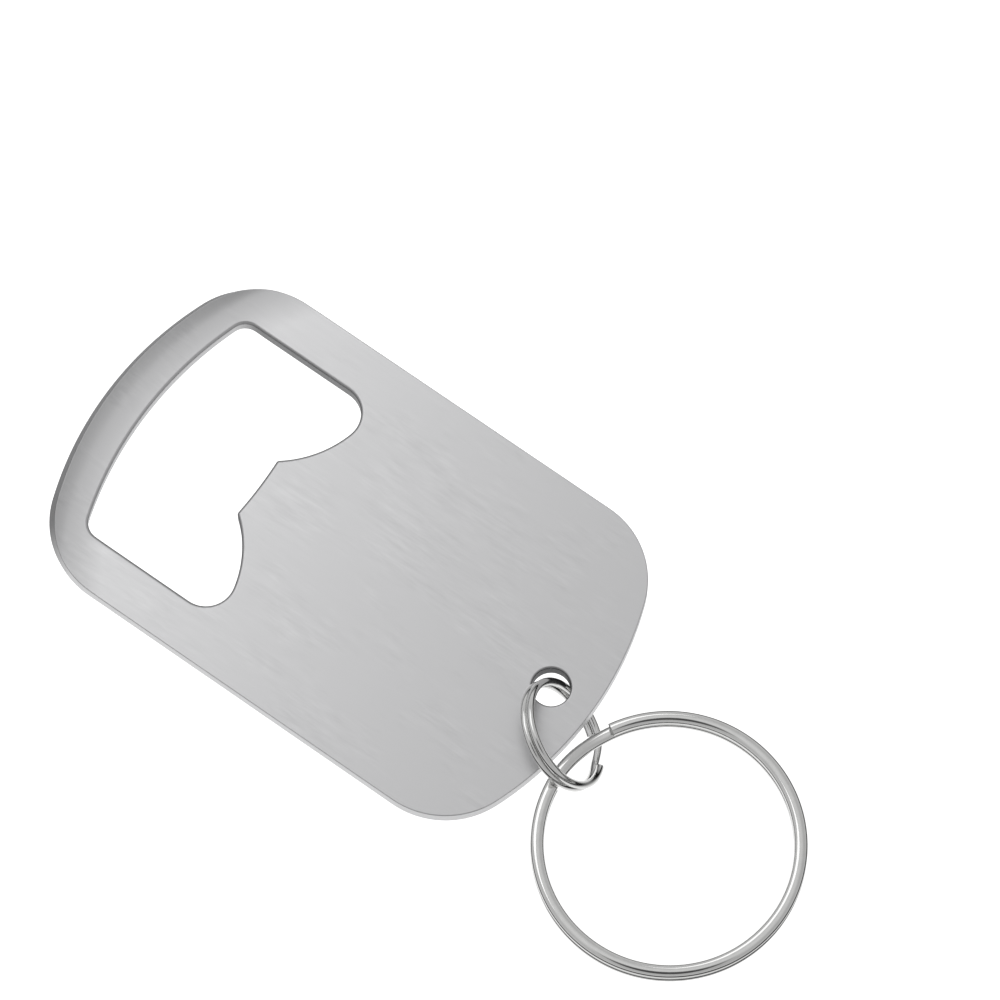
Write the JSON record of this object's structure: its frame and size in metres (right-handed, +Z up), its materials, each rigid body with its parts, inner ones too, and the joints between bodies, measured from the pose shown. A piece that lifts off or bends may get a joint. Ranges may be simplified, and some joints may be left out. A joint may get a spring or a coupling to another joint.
{
  "type": "keychain bottle opener",
  "caption": "Flat stamped steel bottle opener with a toothed cap window, hung from a key ring by a small split ring.",
  "frame": {"origin": "middle of the plate's length and width, on its flat underside", "axes": "+X across the plate, +Y along the plate from the key rings towards the head bar, +Z up through the sheet, out of the side the lip bends towards"},
  "size_m": [0.0394, 0.0887, 0.0102],
  "materials": {
    "plate_steel": "stainless sheet, fine grain along its length",
    "connector_steel": "polished nickel-plated spring steel",
    "key_ring_steel": "polished nickel-plated spring steel"
  },
  "bodies": {
    "plate": {"opener_plate": "plate_steel"},
    "small_ring": {"connector_ring": "connector_steel"},
    "large_ring": {"key_ring": "key_ring_steel"}
  },
  "joints": [
    {"name": "connector_roll", "type": "hinge", "parent": "plate", "child": "small_ring", "pos_m": [0, -0.0254, 0.0009], "axis": [0.6561, 0.7547, 0], "range_deg": [0, 65]},
    {"name": "key_ring_swing", "type": "hinge", "parent": "small_ring", "child": "large_ring", "pos_m": [-0.00467, -0.03131, 0.00045], "axis": [0.9915, -0.1298, 0], "range_deg": [-60, 60]}
  ]
}
